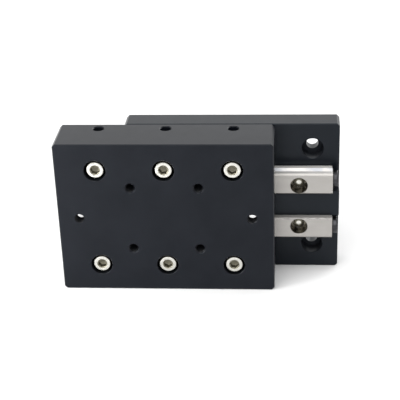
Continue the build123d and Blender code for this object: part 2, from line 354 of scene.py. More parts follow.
    def on_faces(self) -> tuple[Socket, Socket]:
        """Masks of how a face lies.

        Returns:
            Mask of the faces that slope at 45 degrees between the front and the top, and mask of
            those that look straight up or down.
        """
        _, out, up = self.split(self.node("TexCoord").outputs["Normal"])
        product = self.compute("ABSOLUTE", self.compute("MULTIPLY", out, up))
        slopes = self.compute("GREATER_THAN", product, self.SLOPE_PRODUCT)
        return slopes, self.compute("GREATER_THAN", self.compute("ABSOLUTE", up), self.LEVEL_NORMAL)


@dataclass(frozen=True)
class AnodisedBlack:
    """Blasted aluminium under a black anodised layer; the first row of its small bores is tapped.

    Its specular level is lower in the bores, as painted shade, and falls to the sides of the large ones,
    leaving a painted highlight down their middle. Their bored colour is painted light, lighter than the skin
    on the base.
    """

    name: str
    holes: BoreRow
    small_bores: tuple[BoreRow, ...] = ()
    cloud: Pattern = Pattern(14 * MM, detail=4.0, roughness=0.6)
    grain: Pattern = Pattern(0.12 * MM, roughness=0.6)
    grain_depth: float = 0.0016 * MM
    gloss: Pattern = Pattern(5 * MM, detail=3.0)
    smooth: float = 0.28
    rough: float = 0.33
    deep: Colour = (0.0036, 0.0046, 0.0072)
    pale: Colour = (0.0062, 0.0074, 0.0106)
    # painted light: colour inside the large bores
    bored: Colour = (0.005, 0.0056, 0.0068)
    drilled: Colour = (0.013, 0.0135, 0.016)
    tap_pitch: float = 0.7 * MM
    tap_depth: float = 0.35 * MM
    # painted highlight and shade: specular level down the middle of a large bore, falling to bored_side_level
    # at its sides
    bored_level: float = 0.45
    bored_side_level: float = 0.12
    bored_sides: Span = (0.25, 0.55)
    # painted shade: specular level in the small bores
    drilled_level: float = 0.4
    level_square_on: float = 0.155
    level_grazing: float = 0.42
    grazing_span: Span = (0.12, 0.55)
    shine_tint: Colour = (0.92, 0.95, 0.98)

    def make(self) -> bpy.types.Material:
        """Build the material.

        Returns:
            The material.
        """
        bench = ShaderBench(self.name)
        skin = bench.blend(bench.spread(self.cloud, 0.0, 1.0), self.deep, self.pale)
        surface = bench.relief(bench.noise(self.grain), self.grain_depth)
        inside = bench.in_bores(self.holes)
        # paint the light inside the large bores
        skin = bench.blend(inside, skin, self.bored)
        # painted highlight down the middle of each large bore, and painted shade at its sides
        aside = bench.compute("ABSOLUTE", bench.hole_place(self.holes)[0])
        sides = [part * self.holes.radius for part in self.bored_sides]
        painted_bore_shine = bench.between(aside, self.bored_level, self.bored_side_level, *sides)
        share = bench.compute("MULTIPLY_ADD", inside, bench.compute("SUBTRACT", painted_bore_shine, 1.0), 1.0)
        for row in self.small_bores:
            in_row = bench.in_bores(row)
            skin = bench.blend(in_row, skin, self.drilled)
            # painted shade in the small bores
            share = bench.compute("MULTIPLY", share, bench.between(in_row, 1.0, self.drilled_level))
        if self.small_bores:
            thread = bench.threads(self.small_bores[0], self.tap_pitch)
            surface = bench.relief(thread, self.tap_depth, surface)
        facing = bench.node("LayerWeight").outputs["Facing"]
        level = bench.between(facing, self.level_square_on, self.level_grazing, *self.grazing_span)
        bench.shader.inputs["Specular IOR Level"].default_value = self.level_square_on
        return bench.finish({
            "Base Color": skin,
            "Roughness": bench.spread(self.gloss, self.smooth, self.rough),
            "Normal": surface,
            "Specular IOR Level": bench.compute("MULTIPLY", level, share),
            "Specular Tint": self.shine_tint,
        })


@dataclass(frozen=True)
class GroundSteel:
    """Steel ground along its length, with fine straight scratches."""

    name: str
    deep: Colour
    pale: Colour
    smooth: float
    rough: float
    strokes: Pattern = Pattern(0.05 * MM, (0.02, 1.0, 1.0), detail=3.0, roughness=0.65)
    stroke_depth: float = 0.0006 * MM
    cloud: Pattern = Pattern(6 * MM, (0.4, 1.0, 1.0), detail=3.0, roughness=0.55)
    metal: float = 1.0

    def make(self) -> bpy.types.Material:
        """Build the material.

        Returns:
            The material.
        """
        bench = ShaderBench(self.name)
        strokes = bench.noise(self.strokes)
        colour = bench.blend(bench.spread(self.cloud, 0.0, 1.0), self.deep, self.pale)
        roughness = bench.between(strokes, self.smooth, self.rough, *self.strokes.span)
        colour, roughness = self.finer_places(bench, colour, roughness)
        return bench.finish({
            "Base Color": colour,
            "Roughness": roughness,
            "Normal": bench.relief(strokes, self.stroke_depth),
            "Metallic": self.metal,
        })

    def finer_places(self, bench: ShaderBench, colour: Socket, roughness: Socket) -> tuple[Socket, Socket]:
        """Colour and roughness of the whole, from those of its ground faces; a plain piece has no others."""
        return colour, roughness


@dataclass(frozen=True, kw_only=True)
class RailSteel(GroundSteel):
    """Rail steel: lapped groove with a painted reflection on its flanks, lands with a painted highlight, dull
    unground chamfers, and dark drilled bores with painted reflection streaks.
    """

    holes: BoreRow
    groove: Span = (11.1 * MM, 15.7 * MM)
    groove_side: Span = (11.0 * MM, 17.0 * MM)
    lapped: float = 0.38
    # painted highlight: lighter colour on the level faces beside the groove, for the light that falls on them
    land: Colour = (0.72, 0.705, 0.68)
    level_metal: float = 0.4
    # painted reflection: bluish colour along the groove's flanks, broken into wavy patches along X
    flank: Colour = (0.29, 0.295, 0.31)
    flank_waves: Pattern = Pattern(2.2 * MM, (0.5, 1.0, 1.0), span=(0.45, 0.6))
    flank_least: float = 0.15
    unground: Colour = (0.16, 0.155, 0.15)
    unground_patches: Pattern = Pattern(0.6 * MM, (0.3, 1.0, 1.0), span=(0.4, 0.6))
    unground_least: float = 0.6
    unground_by_groove: float = 0.2
    # dark scale of the bore walls, with painted reflection streaks along the bores
    wall_deep: Colour = (0.03, 0.027, 0.021)
    wall_pale: Colour = (0.17, 0.154, 0.125)
    wall_streaks: Pattern = Pattern(1.1 * MM, (1.0, 0.05, 1.0), span=(0.4, 0.6))
    wall_smooth: float = 0.3

    def finer_places(self, bench: ShaderBench, colour: Socket, roughness: Socket) -> tuple[Socket, Socket]:
        """Lap the groove and paint a reflection on its flanks, paint a highlight on its lands, dull the
        chamfers of the back, and darken the bores, with painted reflection streaks on their walls.

        Args:
            bench: The material in work.
            colour: Colour of the ground faces.
            roughness: Roughness of the ground faces.

        Returns:
            Colour and roughness of the whole.
        """
        _, out, up = bench.split(bench.place())
        slopes, level = bench.on_faces()
        near_groove = bench.within(up, self.groove_side)
        flanks = bench.compute("MULTIPLY", slopes, bench.within(out, self.groove))
        # paint the highlight on the lands
        colour = bench.blend(bench.compute("MULTIPLY", level, near_groove), colour, self.land)
        # paint the wavy reflection on the flanks
        waves = bench.spread(self.flank_waves, self.flank_least, 1.0)
        colour = bench.blend(bench.compute("MULTIPLY", flanks, waves), colour, self.flank)
        share = bench.between(near_groove, 1.0, self.unground_by_groove)
        chamfers = bench.compute("MULTIPLY", bench.compute("SUBTRACT", slopes, flanks), share)
        patches = bench.spread(self.unground_patches, self.unground_least, 1.0)
        colour = bench.blend(bench.compute("MULTIPLY", chamfers, patches), colour, self.unground)
        inside = bench.in_bores(self.holes)
        # dark scale on the bore walls, streaked with painted reflections
        wall = bench.blend(bench.spread(self.wall_streaks, 0.0, 1.0), self.wall_deep, self.wall_pale)
        bench.feed(bench.shader, {"Metallic": bench.between(level, self.metal, self.level_metal)})
        smoother = bench.compute(
            "MINIMUM", bench.between(flanks, 1.0, self.lapped / self.rough),
            bench.between(inside, 1.0, self.wall_smooth / self.rough),
        )
        return bench.blend(inside, colour, wall), bench.compute("MULTIPLY", roughness, smoother)


@dataclass(frozen=True)
class TurnedSteel:
    """Steel turned on a lathe: fine rings round the axis of each piece.

    The width of a ring is in millimetres, as the turned map is.
    """

    name: str
    deep: Colour
    pale: Colour
    smooth: float
    rough: float
    smudges: Pattern = Pattern(1.5 * MM, detail=4.0, roughness=0.6)
    ring_width: float = 0.09
    ring_detail: float = 2.0
    ring_depth: float = 0.0012 * MM

    def make(self) -> bpy.types.Material:
        """Build the material.

        Returns:
            The material.
        """
        bench = ShaderBench(self.name)
        turned = bench.node("UVMap")
        turned.uv_map = TURNED_MAP
        _, along, _ = bench.split(turned.outputs["UV"])
        rings = bench.node("TexNoise")
        rings.noise_dimensions = "1D"
        bench.feed(rings, {"W": along, "Scale": 1.0 / self.ring_width, "Detail": self.ring_detail})
        smudge = bench.noise(self.smudges)
        worn = bench.between(smudge, 0.0, 1.0, *self.smudges.span)
        return bench.finish({
            "Base Color": bench.blend(worn, self.deep, self.pale),
            "Roughness": bench.between(smudge, self.smooth, self.rough, *self.smudges.span),
            "Normal": bench.relief(rings.outputs["Fac"], self.ring_depth),
            "Metallic": 1.0,
        })


class Workshop:
    """Modelling moves that the fasteners share."""

    SEED_SIZE = 0.1 * MM  # the plane that a turned body starts from
    TURN_STEPS = 48  # segments round the axis of a turned body
    SMOOTH_UNDER = 32.0  # edges flatter than this many degrees are smoothed
    RING_TOLERANCE = 0.01 * MM
    MERGE_UNDER = 0.0005 * MM
    POINT_SHARE = 0.25  # depth of the point under a socket, as a share of the socket's width
    RIDGE_SHARE = 0.46  # half height of a thread's ridge, as a share of its pitch
    THREAD_STEPS = 24  # steps in one turn of a thread

    @staticmethod
    def clear() -> None:
        """Leave edit mode and deselect every object."""
        if bpy.context.object is not None and bpy.context.object.mode != "OBJECT":
            bpy.ops.object.mode_set(mode="OBJECT")
        bpy.ops.object.select_all(action="DESELECT")

    @staticmethod
    def hold(piece: bpy.types.Object) -> None:
        """Select one object alone and make it active."""
        Workshop.clear()
        piece.select_set(True)
        bpy.context.view_layer.objects.active = piece

    @staticmethod
    def edit_all() -> None:
        """Enter edit mode with the whole mesh of the active object selected."""
        bpy.ops.object.mode_set(mode="EDIT")
        bpy.ops.mesh.select_mode(type="VERT")
        bpy.ops.mesh.select_all(action="SELECT")

    @staticmethod
    def pick_edges(piece: bpy.types.Object, wanted: Callable[[bmesh.types.BMEdge], bool]) -> int:
        """Select the edges of the object in edit mode that pass a test.

        Args:
            piece: The object in edit mode.
            wanted: Test of one edge.

        Returns:
            How many edges were selected.
        """
        bpy.ops.mesh.select_mode(type="EDGE")
        bpy.ops.mesh.select_all(action="DESELECT")
        mesh = bmesh.from_edit_mesh(piece.data)
        chosen = [edge for edge in mesh.edges if wanted(edge)]
        for edge in chosen:
            edge.select_set(True)
        bmesh.update_edit_mesh(piece.data)
        return len(chosen)

    @classmethod
    def on_ring(cls, radius: float, height: float) -> Callable[[bmesh.types.BMEdge], bool]:
        """Test for the edges of one ring round the Z axis.

        Args:
            radius: Radius of the ring.
            height: Its place along Z.

        Returns:
            The test.
        """

        def test(edge: bmesh.types.BMEdge) -> bool:
            """True for an edge with both ends on the ring."""
            return all(
                abs(v.co.xy.length - radius) < cls.RING_TOLERANCE
                and abs(v.co.z - height) < cls.RING_TOLERANCE
                for v in edge.verts
            )

        return test

    @staticmethod
    def hexagon_corner(across: float) -> float:
        """Radius of a hexagon's corners, from its width across the flats."""
        return across / 2 / math.cos(math.pi / 6)

    @classmethod
    def turn(cls, name: str, outline: Outline) -> bpy.types.Object:
        """Turn a body round the Z axis from the outline of half of it.

        Args:
            name: Name of the object.
            outline: Radius and height of each corner, in order.

        Returns:
            The turned object, in edit mode, with its place in its mesh.
        """
        cls.clear()
        radius, height = outline[0]
        bpy.ops.mesh.primitive_plane_add(size=cls.SEED_SIZE, location=(0.0, 0.0, 0.0))
        piece = bpy.context.object
        piece.name = name
        cls.edit_all()
        bpy.ops.mesh.merge(type="CENTER")
        bpy.ops.transform.translate(value=(radius, 0.0, height))
        for next_radius, next_height in outline[1:]:
            step = (next_radius - radius, 0.0, next_height - height)
            bpy.ops.mesh.extrude_region_move(TRANSFORM_OT_translate={"value": step})
            radius, height = next_radius, next_height
        bpy.ops.mesh.select_all(action="SELECT")
        whole, centre, axis = 2 * math.pi, (0.0, 0.0, 0.0), (0.0, 0.0, 1.0)
        bpy.ops.mesh.spin(steps=cls.TURN_STEPS, angle=whole, center=centre, axis=axis)
        bpy.ops.mesh.select_all(action="SELECT")
        bpy.ops.mesh.remove_doubles(threshold=cls.MERGE_UNDER)
        bpy.ops.mesh.normals_make_consistent(inside=False)
        return piece

    @classmethod
    def round_ring(
        cls, piece: bpy.types.Object, radius: float, height: float, offset: float, segments: int
    ) -> None:
        """Round the edge that runs round the axis at one radius and height.

        Args:
            piece: The object in edit mode.
            radius: Radius of the edge.
            height: Its place along Z.
            offset: Width of the rounding.
            segments: Faces across the rounding.
        """
        if cls.pick_edges(piece, cls.on_ring(radius, height)):
            bpy.ops.mesh.bevel(offset=offset, offset_type="OFFSET", segments=segments, profile=0.5)

    @classmethod
    def sink_hexagon(cls, piece: bpy.types.Object, across: float, mouth: float, depth: float) -> None:
        """Sink a hexagon socket with a conical mouth into an open round top at height 0.

        Args:
            piece: The object in edit mode.
            across: Width across the flats.
            mouth: Depth of the conical mouth.
            depth: Depth of the flats.
        """
        bpy.ops.mesh.select_all(action="DESELECT")
        corner = cls.hexagon_corner(across)
        bpy.ops.mesh.primitive_circle_add(vertices=6, radius=corner, location=(0.0, 0.0, -mouth))
        cls.pick_edges(piece, lambda edge: edge.is_boundary or edge.is_wire)
        bpy.ops.mesh.bridge_edge_loops()
        cls.pick_edges(piece, lambda edge: edge.is_boundary)
        for drop in (depth - mouth, cls.POINT_SHARE * across):
            bpy.ops.mesh.extrude_region_move(TRANSFORM_OT_translate={"value": (0.0, 0.0, -drop)})
        bpy.ops.mesh.merge(type="CENTER")
        bpy.ops.mesh.select_all(action="SELECT")
        bpy.ops.mesh.normals_make_consistent(inside=False)

    @classmethod
    def wind_thread(
        cls, piece: bpy.types.Object, core: float, crest: float, pitch: float, top: float, bottom: float
    ) -> None:
        """Wind a thread round a core and join it to the piece.

        Args:
            piece: The object that carries the thread.
            core: Radius of the core.
            crest: Outer radius of the thread.
            pitch: Rise of one turn.
            top: Height of its upper end.
            bottom: Height of its lower end.
        """
        cls.clear()
        bpy.ops.mesh.primitive_circle_add(vertices=4, radius=1.0 * MM, rotation=(math.pi / 2, 0.0, 0.0))
        ridge = bpy.context.object
        bpy.ops.object.transform_apply(location=True, rotation=True, scale=True)
        cls.edit_all()
        section = ((crest - core) / MM, 1.0, cls.RIDGE_SHARE * pitch / MM)
        bpy.ops.transform.resize(value=section, center_override=(0.0, 0.0, 0.0))
        bpy.ops.transform.translate(value=(core, 0.0, top - pitch / 2))
        bpy.ops.object.mode_set(mode="OBJECT")
        bpy.ops.object.modifier_add(type="SCREW")
        screw = ridge.modifiers[-1]
        screw.axis = "Z"
        screw.screw_offset = -pitch
        screw.iterations = int((top - bottom - pitch) / pitch)
        screw.steps = screw.render_steps = cls.THREAD_STEPS
        bpy.ops.object.modifier_apply(modifier=screw.name)
        cls.edit_all()
        bpy.ops.mesh.remove_doubles(threshold=cls.MERGE_UNDER)
        bpy.ops.mesh.fill_holes(sides=4)
        bpy.ops.mesh.normals_make_consistent(inside=False)
        bpy.ops.object.mode_set(mode="OBJECT")
        piece.select_set(True)
        bpy.context.view_layer.objects.active = piece
        bpy.ops.object.join()

    @staticmethod
    def lay_turned_map(piece: bpy.types.Object) -> None:
        """Give a turned piece a map of turns round its axis and millimetres along its outline.

        Args:
            piece: The piece, with its axis on Z.
        """
        mesh = piece.data
        layer = mesh.uv_layers.get(TURNED_MAP) or mesh.uv_layers.new(name=TURNED_MAP)
        for face in mesh.polygons:
            centre = math.atan2(face.center.y, face.center.x)
            for loop in face.loop_indices:
                point = mesh.vertices[mesh.loops[loop].vertex_index].co
                angle = math.atan2(point.y, point.x)
                angle += 2 * math.pi * round((centre - angle) / (2 * math.pi))
                along = (point.xy.length - point.z) / MM
                layer.data[loop].uv = (angle / (2 * math.pi), along)

    @classmethod
    def finish_piece(cls, piece: bpy.types.Object) -> None:
        """Smooth the round faces of a piece and lay its map."""
        cls.hold(piece)
        bpy.ops.object.shade_smooth_by_angle(angle=math.radians(cls.SMOOTH_UNDER))
        cls.lay_turned_map(piece)


def paint(piece: bpy.types.Object, material: bpy.types.Material) -> None:
    """Give a piece one material in all its slots.

    Args:
        piece: A CAD node or a new piece.
        material: The material.
    """
    if not piece.material_slots:
        piece.data.materials.append(material)
    for slot in piece.material_slots:
        slot.material = material


@dataclass(frozen=True)
class Seat:
    """One place of a fastener: the CAD node that it stands for, and how it sits."""

    node: str
    body: Body
    facing: Facing
    turn: float = 0.0

    def matrix(self) -> Matrix:
        """Place of the head's outer face, from the node's box.

        Returns:
            The matrix that puts a fastener drawn with its head at the origin, looking up, on its seat.
        """
        low, high = (Vector(corner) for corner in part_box(self.node))
        out = Vector(self.facing.value)
        centre = (low + high) / 2
        half = (high - low) / 2
        face = centre + Vector(o * h for o, h in zip(out, half))
        tilt = Vector((0.0, 0.0, 1.0)).rotation_difference(out).to_matrix().to_4x4()
        return Matrix.Translation(face) @ tilt @ Matrix.Rotation(math.radians(self.turn), 4, "Z")


@dataclass
class Fasteners:
    """Base of each kind of fastener: one pattern piece, copied to every seat."""

    finishes: Sequence[TurnedSteel]
    slot: Slot
    seats: Sequence[Seat]

    def pattern(self) -> bpy.types.Object:
        """Model one fastener with its head's outer face at the origin, looking up."""
        raise NotImplementedError

    def finish_of(self, centre: Vector) -> FaceFinish:
        """Finish of the face with this centre; a plain fastener has one finish."""
        return FaceFinish.BRIGHT

    def build(self) -> list[bpy.types.Object]:
        """Copy the pattern to each seat.

        Returns:
            The placed pieces.
        """
        pattern = self.pattern()
        Workshop.finish_piece(pattern)
        for finish in self.finishes:
            pattern.data.materials.append(finish.make())
        for face in pattern.data.polygons:
            face.material_index = self.finish_of(face.center)
        placed = []
        for seat in self.seats:
            piece = pattern.copy()
            piece.data = pattern.data.copy()
            piece.name = piece.data.name = f"{seat.node}_detailed"
            bpy.context.scene.collection.objects.link(piece)
            piece.data.transform(seat.matrix())
            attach(piece, seat.body.value)
            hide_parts(seat.node)
            placed.append(piece)
        bpy.data.objects.remove(pattern)
        return placed


@dataclass
class CapScrews(Fasteners):
    """Cap screws with hexagon sockets, which hold the rails.

    The head's side and the edge's outer part, edge_share of its rounding, take a black painted shade. The
    socket's finish, punch-formed and darkened as painted shade, begins at socket_sunk below the face, out to
    socket_reach of its width.
    """

    head_radius: float = 3.42 * MM
    head_height: float = 4.0 * MM
    head_rounding: float = 0.66 * MM
    under_rounding: float = 0.12 * MM
    # share of the edge's rounding that takes the painted shade
    edge_share: float = 0.68
    socket_across: float = 3.0 * MM
    socket_mouth: float = 0.22 * MM
    socket_depth: float = 2.2 * MM
    socket_reach: float = 0.72
    socket_sunk: float = 0.05 * MM
    length: float = 10.0 * MM
    crest: float = 1.99 * MM
    core: float = 1.6 * MM
    pitch: float = 0.7 * MM
    neck: float = 0.2 * MM
    tip_radius: float = 0.95 * MM
    tip_length: float = 0.45 * MM
    tip_face: float = 0.01 * MM
    collar_radius: float = 1.8 * MM
    collar_length: float = 0.3 * MM

    @property
    def end(self) -> float:
        """Height of the screw's far end."""
        return -self.head_height - self.length

    @property
    def collar_top(self) -> float:
        """Height of the upper edge of the collar."""
        return self.end + self.tip_length + self.collar_length

    def pattern(self) -> bpy.types.Object:
        """Model one cap screw.

        Returns:
            The screw.
        """
        outline = [
            (Workshop.hexagon_corner(self.socket_across) + self.socket_mouth, 0.0),
            (self.head_radius, 0.0),
            (self.head_radius, -self.head_height),
            (self.core, -self.head_height),
            (self.core, self.collar_top + self.collar_radius - self.core),
            (self.collar_radius, self.collar_top),
            (self.collar_radius, self.end + self.tip_length),
            (self.tip_radius, self.end),
            (0.0, self.end),
        ]
        screw = Workshop.turn("cap_screw_pattern", outline)
        Workshop.round_ring(screw, self.head_radius, 0.0, self.head_rounding, 4)
        Workshop.round_ring(screw, self.head_radius, -self.head_height, self.under_rounding, 2)
        Workshop.sink_hexagon(screw, self.socket_across, self.socket_mouth, self.socket_depth)
        bpy.ops.object.mode_set(mode="OBJECT")
        top = -self.head_height - self.neck
        Workshop.wind_thread(screw, self.core, self.crest, self.pitch, top, self.collar_top)
        return screw

    def finish_of(self, centre: Vector) -> FaceFinish:
        """Paint shade on the head's side, and give the socket and the tip's cone a punch-formed finish
        darkened as painted shade.

        Args:
            centre: Centre of the face.

        Returns:
            The finish of the face.
        """
        radius = centre.xy.length
        if centre.z > -self.head_height:
            # the head's side and the outer part of its edge take the painted shade
            if radius > self.head_radius - self.edge_share * self.head_rounding:
                return FaceFinish.STAINED
            # the socket takes the punch-formed finish, whose dark colour is painted shade
            punched_painted_shade = radius < self.socket_reach * self.socket_across and centre.z < -self.socket_sunk
        else:
            # the tip's cone and collar take the same painted shade
            punched_painted_shade = self.end + self.tip_face < centre.z < self.collar_top
        return FaceFinish.PUNCHED if punched_painted_shade else FaceFinish.BRIGHT


@dataclass
class PreloadScrews(Fasteners):
    """Set screws with a socket and a cup point, in the side of the table."""

    crest: float = 1.99 * MM
    core: float = 1.6 * MM
    pitch: float = 0.7 * MM
    length: float = 4.0 * MM
    socket_across: float = 2.0 * MM
    socket_mouth: float = 0.12 * MM
    socket_depth: float = 1.6 * MM
    cup_radius: float = 1.0 * MM
    cup_rim: float = 0.2 * MM
    cup_depth: float = 0.5 * MM

    def pattern(self) -> bpy.types.Object:
        """Model one set screw.

        Returns:
            The screw.
        """
        slope = self.crest - self.core
        outline = [
            (Workshop.hexagon_corner(self.socket_across) + self.socket_mouth, 0.0),
            (self.core, 0.0),
            (self.core, slope - self.length),
            (self.cup_radius + self.cup_rim, -self.length),
            (self.cup_radius, -self.length),
            (0.0, self.cup_depth - self.length),
        ]
        screw = Workshop.turn("preload_screw_pattern", outline)
        Workshop.sink_hexagon(screw, self.socket_across, self.socket_mouth, self.socket_depth)
        bpy.ops.object.mode_set(mode="OBJECT")
        Workshop.wind_thread(screw, self.core, self.crest, self.pitch, 0.0, slope - self.length)
        return screw


@dataclass
class StopScrews(Fasteners):
    """Slotted screws in the ends of the rails, which keep the cages in."""

    head_radius: float = 3.2 * MM
    head_height: float = 1.9 * MM
    head_rounding: float = 0.32 * MM
    slot_width: float = 0.8 * MM
    slot_depth: float = 0.7 * MM
    length: float = 5.0 * MM
    crest: float = 1.24 * MM
    core: float = 1.0 * MM
    pitch: float = 0.45 * MM
    tip_chamfer: float = 0.3 * MM

    def pattern(self) -> bpy.types.Object:
        """Model one stop screw.

        Returns:
            The screw.
        """
        end = -self.head_height - self.length
        bottom = end + self.tip_chamfer
        outline = [
            (0.0, 0.0),
            (self.head_radius, 0.0),
            (self.head_radius, -self.head_height),
            (self.core, -self.head_height),
            (self.core, bottom),
            (self.core - self.tip_chamfer, end),
            (0.0, end),
        ]
        screw = Workshop.turn("stop_screw_pattern", outline)
        Workshop.round_ring(screw, self.head_radius, 0.0, self.head_rounding, 3)
        Workshop.round_ring(screw, self.head_radius, -self.head_height, self.head_rounding, 2)
        bpy.ops.object.mode_set(mode="OBJECT")
        self.cut_slot(screw)
        Workshop.wind_thread(screw, self.core, self.crest, self.pitch, -self.head_height, bottom)
        return screw

    def cut_slot(self, screw: bpy.types.Object) -> None:
        """Cut the driver slot across the head, with a cutter that reaches past it on all sides.

        Args:
            screw: The turned screw.
        """
        Workshop.clear()
        bpy.ops.mesh.primitive_cube_add(size=1.0, location=(0.0, 0.0, 0.0))
        cutter = bpy.context.object
        Workshop.edit_all()
        reach = (3 * self.head_radius, self.slot_width, 2 * self.slot_depth)
        bpy.ops.transform.resize(value=reach, center_override=(0.0, 0.0, 0.0))
        bpy.ops.object.mode_set(mode="OBJECT")
        Workshop.hold(screw)
        bpy.ops.object.modifier_add(type="BOOLEAN")
        cut = screw.modifiers[-1]
        cut.operation = "DIFFERENCE"
        cut.solver = "EXACT"
        cut.object = cutter
        bpy.ops.object.modifier_apply(modifier=cut.name)
        bpy.data.objects.remove(cutter)


@dataclass
class StopPins(Fasteners):
    """Ground pins with a chamfer and a shallow dish in each end."""

    radius: float = 1.75 * MM
    length: float = 8.8 * MM
    chamfer: float = 0.2 * MM
    dish_depth: float = 0.24 * MM
    dish_steps: int = 6

    def pattern(self) -> bpy.types.Object:
        """Model one pin.

        Returns:
            The pin.
        """
        rim = self.radius - self.chamfer
        shares = [number / self.dish_steps for number in range(self.dish_steps + 1)]
        dish = [(rim * share, self.dish_depth * (share ** 2 - 1)) for share in shares]
        far = [(radius, -self.length - height) for radius, height in reversed(dish)]
        side = [(self.radius, -self.chamfer), (self.radius, self.chamfer - self.length)]
        pin = Workshop.turn("stop_pin_pattern", dish + side + far)
        bpy.ops.object.mode_set(mode="OBJECT")
        return pin


@dataclass
class CadDress:
    """CAD nodes that keep their own shape and get a finish; * in a name stands for any ending."""

    finish: AnodisedBlack | GroundSteel
    names: tuple[str, ...]

    def build(self) -> list[bpy.types.Object]:
        """Dress every node whose name fits one of the names.

        Returns:
            The dressed nodes.
        """
        material = self.finish.make()
        dressed = [
            node for name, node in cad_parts.items()
            if any(fnmatchcase(name, wanted) for wanted in self.names)
        ]
        for node in dressed:
            paint(node, material)
        return dressed


@dataclass(frozen=True)
class Softbox:
    """One soft rectangular lamp."""

    name: str
    place: Point
    target: Point
    size: Span
    power: float

    def hang(self) -> None:
        """Hang the lamp, out of the camera's sight."""
        data = bpy.data.lights.new(self.name, "AREA")
        data.shape = "RECTANGLE"
        data.size, data.size_y = self.size
        data.energy = self.power
        lamp = bpy.data.objects.new(self.name, data)
        lamp.location = self.place
        beam = Vector(self.target) - Vector(self.place)
        lamp.rotation_euler = beam.to_track_quat("-Z", "Y").to_euler()
        lamp.visible_camera = False
        bpy.context.scene.collection.objects.link(lamp)


@dataclass
class Studio:
    """Pale floor, soft lamps, white surroundings and the camera of the photograph."""

    floor_size: float = 6.0
    floor_height: float = -30.05 * MM
    floor_colour: float = 0.82
    shadow_reach: float = 0.22
    white_from: float = 0.55
    ambient: float = 0.9
    lamps: tuple[Softbox, ...] = (
        Softbox("key_softbox", (-0.5, -2.0, 1.5), (-0.02, -0.02, 0.0), (2.4, 1.2), 19.0),
        Softbox("roof_softbox", (-0.02, -0.8, 1.7), (0.0, -0.02, 0.0), (1.6, 0.9), 11.0),
        Softbox("back_softbox", (0.9, 0.9, 0.8), (0.0, -0.02, 0.0), (1.0, 0.8), 8.0),
        Softbox("left_softbox", (-0.19, -0.14, 0.05), (-0.075, -0.08, -0.03), (0.06, 0.06), 0.4),
    )
    camera_place: Point = (0.0234519, -0.4126743, 0.2020282)
    camera_forward: Point = (-0.0796148, 0.8899354, -0.4490840)
    camera_up: Point = (-0.0029556, 0.4503014, 0.8928717)
    camera_lens: float = 106.6687
    camera_sensor: float = 36.0
    camera_clip: Span = (0.01, 20.0)

    def build(self) -> None:
        """Set up the floor, the lamps, the world, the camera and the view."""
        self.lay_floor()
        for lamp in self.lamps:
            lamp.hang()
        self.light_world()
        self.set_camera()
        bpy.context.scene.view_settings.view_transform = "Standard"

    def lay_floor(self) -> None:
        """Lay a wide pale floor that keeps the object's shadow and fades to white beyond it."""
        Workshop.clear()
        bpy.ops.mesh.primitive_plane_add(size=self.floor_size, location=(0.0, 0.0, self.floor_height))
        floor = bpy.context.object
        floor.name = "studio_floor"
        material = bpy.data.materials.new("studio_floor")
        material.use_nodes = True
        bench = NodeBench(material.node_tree)
        distance = bench.node("VectorMath", {0: bench.node("TexCoord").outputs["Object"]})
        distance.operation = "LENGTH"
        reach = {"From Min": self.shadow_reach, "From Max": self.white_from}
        far = bench.node("MapRange", {"Value": distance.outputs["Value"], **reach})
        far.interpolation_type = "SMOOTHSTEP"
        pale = bench.node("BsdfDiffuse", {"Color": (self.floor_colour,) * 3})
        white = bench.node("Emission")
        factor = bench.compute("MULTIPLY", far.outputs["Result"], bench.seen_directly())
        bench.show("OutputMaterial", factor, pale.outputs["BSDF"], white.outputs["Emission"])
        paint(floor, material)

    def light_world(self) -> None:
        """White surroundings for the camera and for reflections, and softer light for the rest."""
        world = bpy.data.worlds.new("studio_world")
        bpy.context.scene.world = world
        world.use_nodes = True
        bench = NodeBench(world.node_tree)
        skies = []
        for strength in (self.ambient, 1.0):
            sky = bench.node("Background", {"Color": (1.0, 1.0, 1.0), "Strength": strength})
            skies.append(sky.outputs["Background"])
        bench.show("OutputWorld", bench.seen_directly(), *skies)

    def set_camera(self) -> None:
        """Put the camera where the photograph was taken."""
        data = bpy.data.cameras.new("photo_camera")
        data.sensor_width = self.camera_sensor
        data.lens = self.camera_lens
        data.clip_start, data.clip_end = self.camera_clip
        camera = bpy.data.objects.new("photo_camera", data)
        back = -Vector(self.camera_forward).normalized()
        right = Vector(self.camera_up).cross(back).normalized()
        up = back.cross(right)
        turn = Matrix((right, up, back)).transposed().to_4x4()
        camera.matrix_world = Matrix.Translation(self.camera_place) @ turn
        bpy.context.scene.collection.objects.link(camera)
        bpy.context.scene.camera = camera


def rail_seats(
    name: str, body: Body, places: Sequence[tuple[str, Facing, float]], row_turn: float
) -> list[Seat]:
    """Seats of one kind of screw in the two rows of a block.

    Args:
        name: Name of the nodes, with gaps for the body, the row and the place.
        body: The block's body.
        places: Name, facing and turn in degrees of each screw of a row.
        row_turn: Degrees that the lower row is turned further than the upper one.

    Returns:
        The seats.
    """
    return [
        Seat(name.format(body.value, train, place), body, facing, turn + row_turn * row)
        for row, train in enumerate(("upper", "lower"))
        for place, facing, turn in places
    ]


